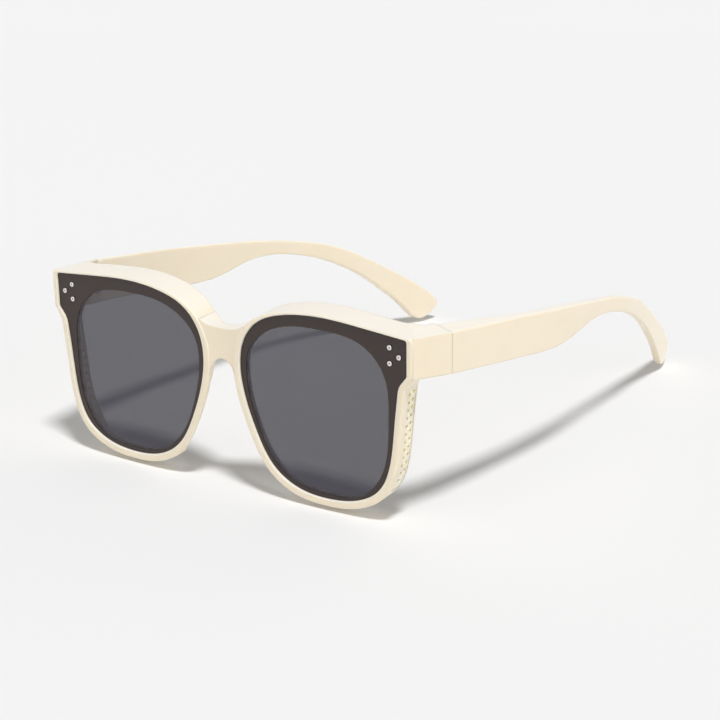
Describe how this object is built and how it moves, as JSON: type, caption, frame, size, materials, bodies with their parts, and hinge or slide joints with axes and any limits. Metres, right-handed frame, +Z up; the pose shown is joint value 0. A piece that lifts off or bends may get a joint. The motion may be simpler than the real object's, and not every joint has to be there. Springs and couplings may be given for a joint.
{
  "type": "fitover sunglasses",
  "caption": "Square fit-over sunglasses with a cream plastic frame, flat grey lenses with a dark border, perforated side vents and folding temples.",
  "frame": {"origin": "on the table under the middle of the open glasses, between the front and the temple tips", "axes": "+X to the wearer's left, +Y from the front towards the temple tips, +Z up; the glasses stand open on the rims' lower edges and the temple tips"},
  "size_m": [0.145, 0.1956, 0.0611],
  "materials": {
    "frame": "semi-gloss cream injection moulded",
    "lens": "smooth grey tinted sheet",
    "border": "dark printed band",
    "metal": "satin",
    "vent": "semi-gloss cream, perforated"
  },
  "bodies": {
    "front": {"front_frame": "frame", "lens_left": "lens", "lens_border_left": "border", "side_vent_left": "vent", "rivet_top_left": "metal", "rivet_middle_left": "metal", "rivet_bottom_left": "metal", "hinge_frame_left": "metal", "hinge_pin_left": "metal", "frame_screws_left": "metal", "lens_right": "lens", "lens_border_right": "border", "side_vent_right": "vent", "rivet_top_right": "metal", "rivet_middle_right": "metal", "rivet_bottom_right": "metal", "hinge_frame_right": "metal", "hinge_pin_right": "metal", "frame_screws_right": "metal"},
    "temple_left": {"temple_left": "frame", "hinge_temple_left": "metal", "temple_screws_left": "metal"},
    "temple_right": {"temple_right": "frame", "hinge_temple_right": "metal", "temple_screws_right": "metal"}
  },
  "joints": [
    {"name": "hinge_left", "type": "hinge", "parent": "front", "child": "temple_left", "pos_m": [0.06555, -0.07848, 0.0507], "axis": [0, 0, 1], "range_deg": [0, 90]},
    {"name": "hinge_right", "type": "hinge", "parent": "front", "child": "temple_right", "pos_m": [-0.06555, -0.07848, 0.0507], "axis": [0, 0, -1], "range_deg": [0, 85]}
  ]
}
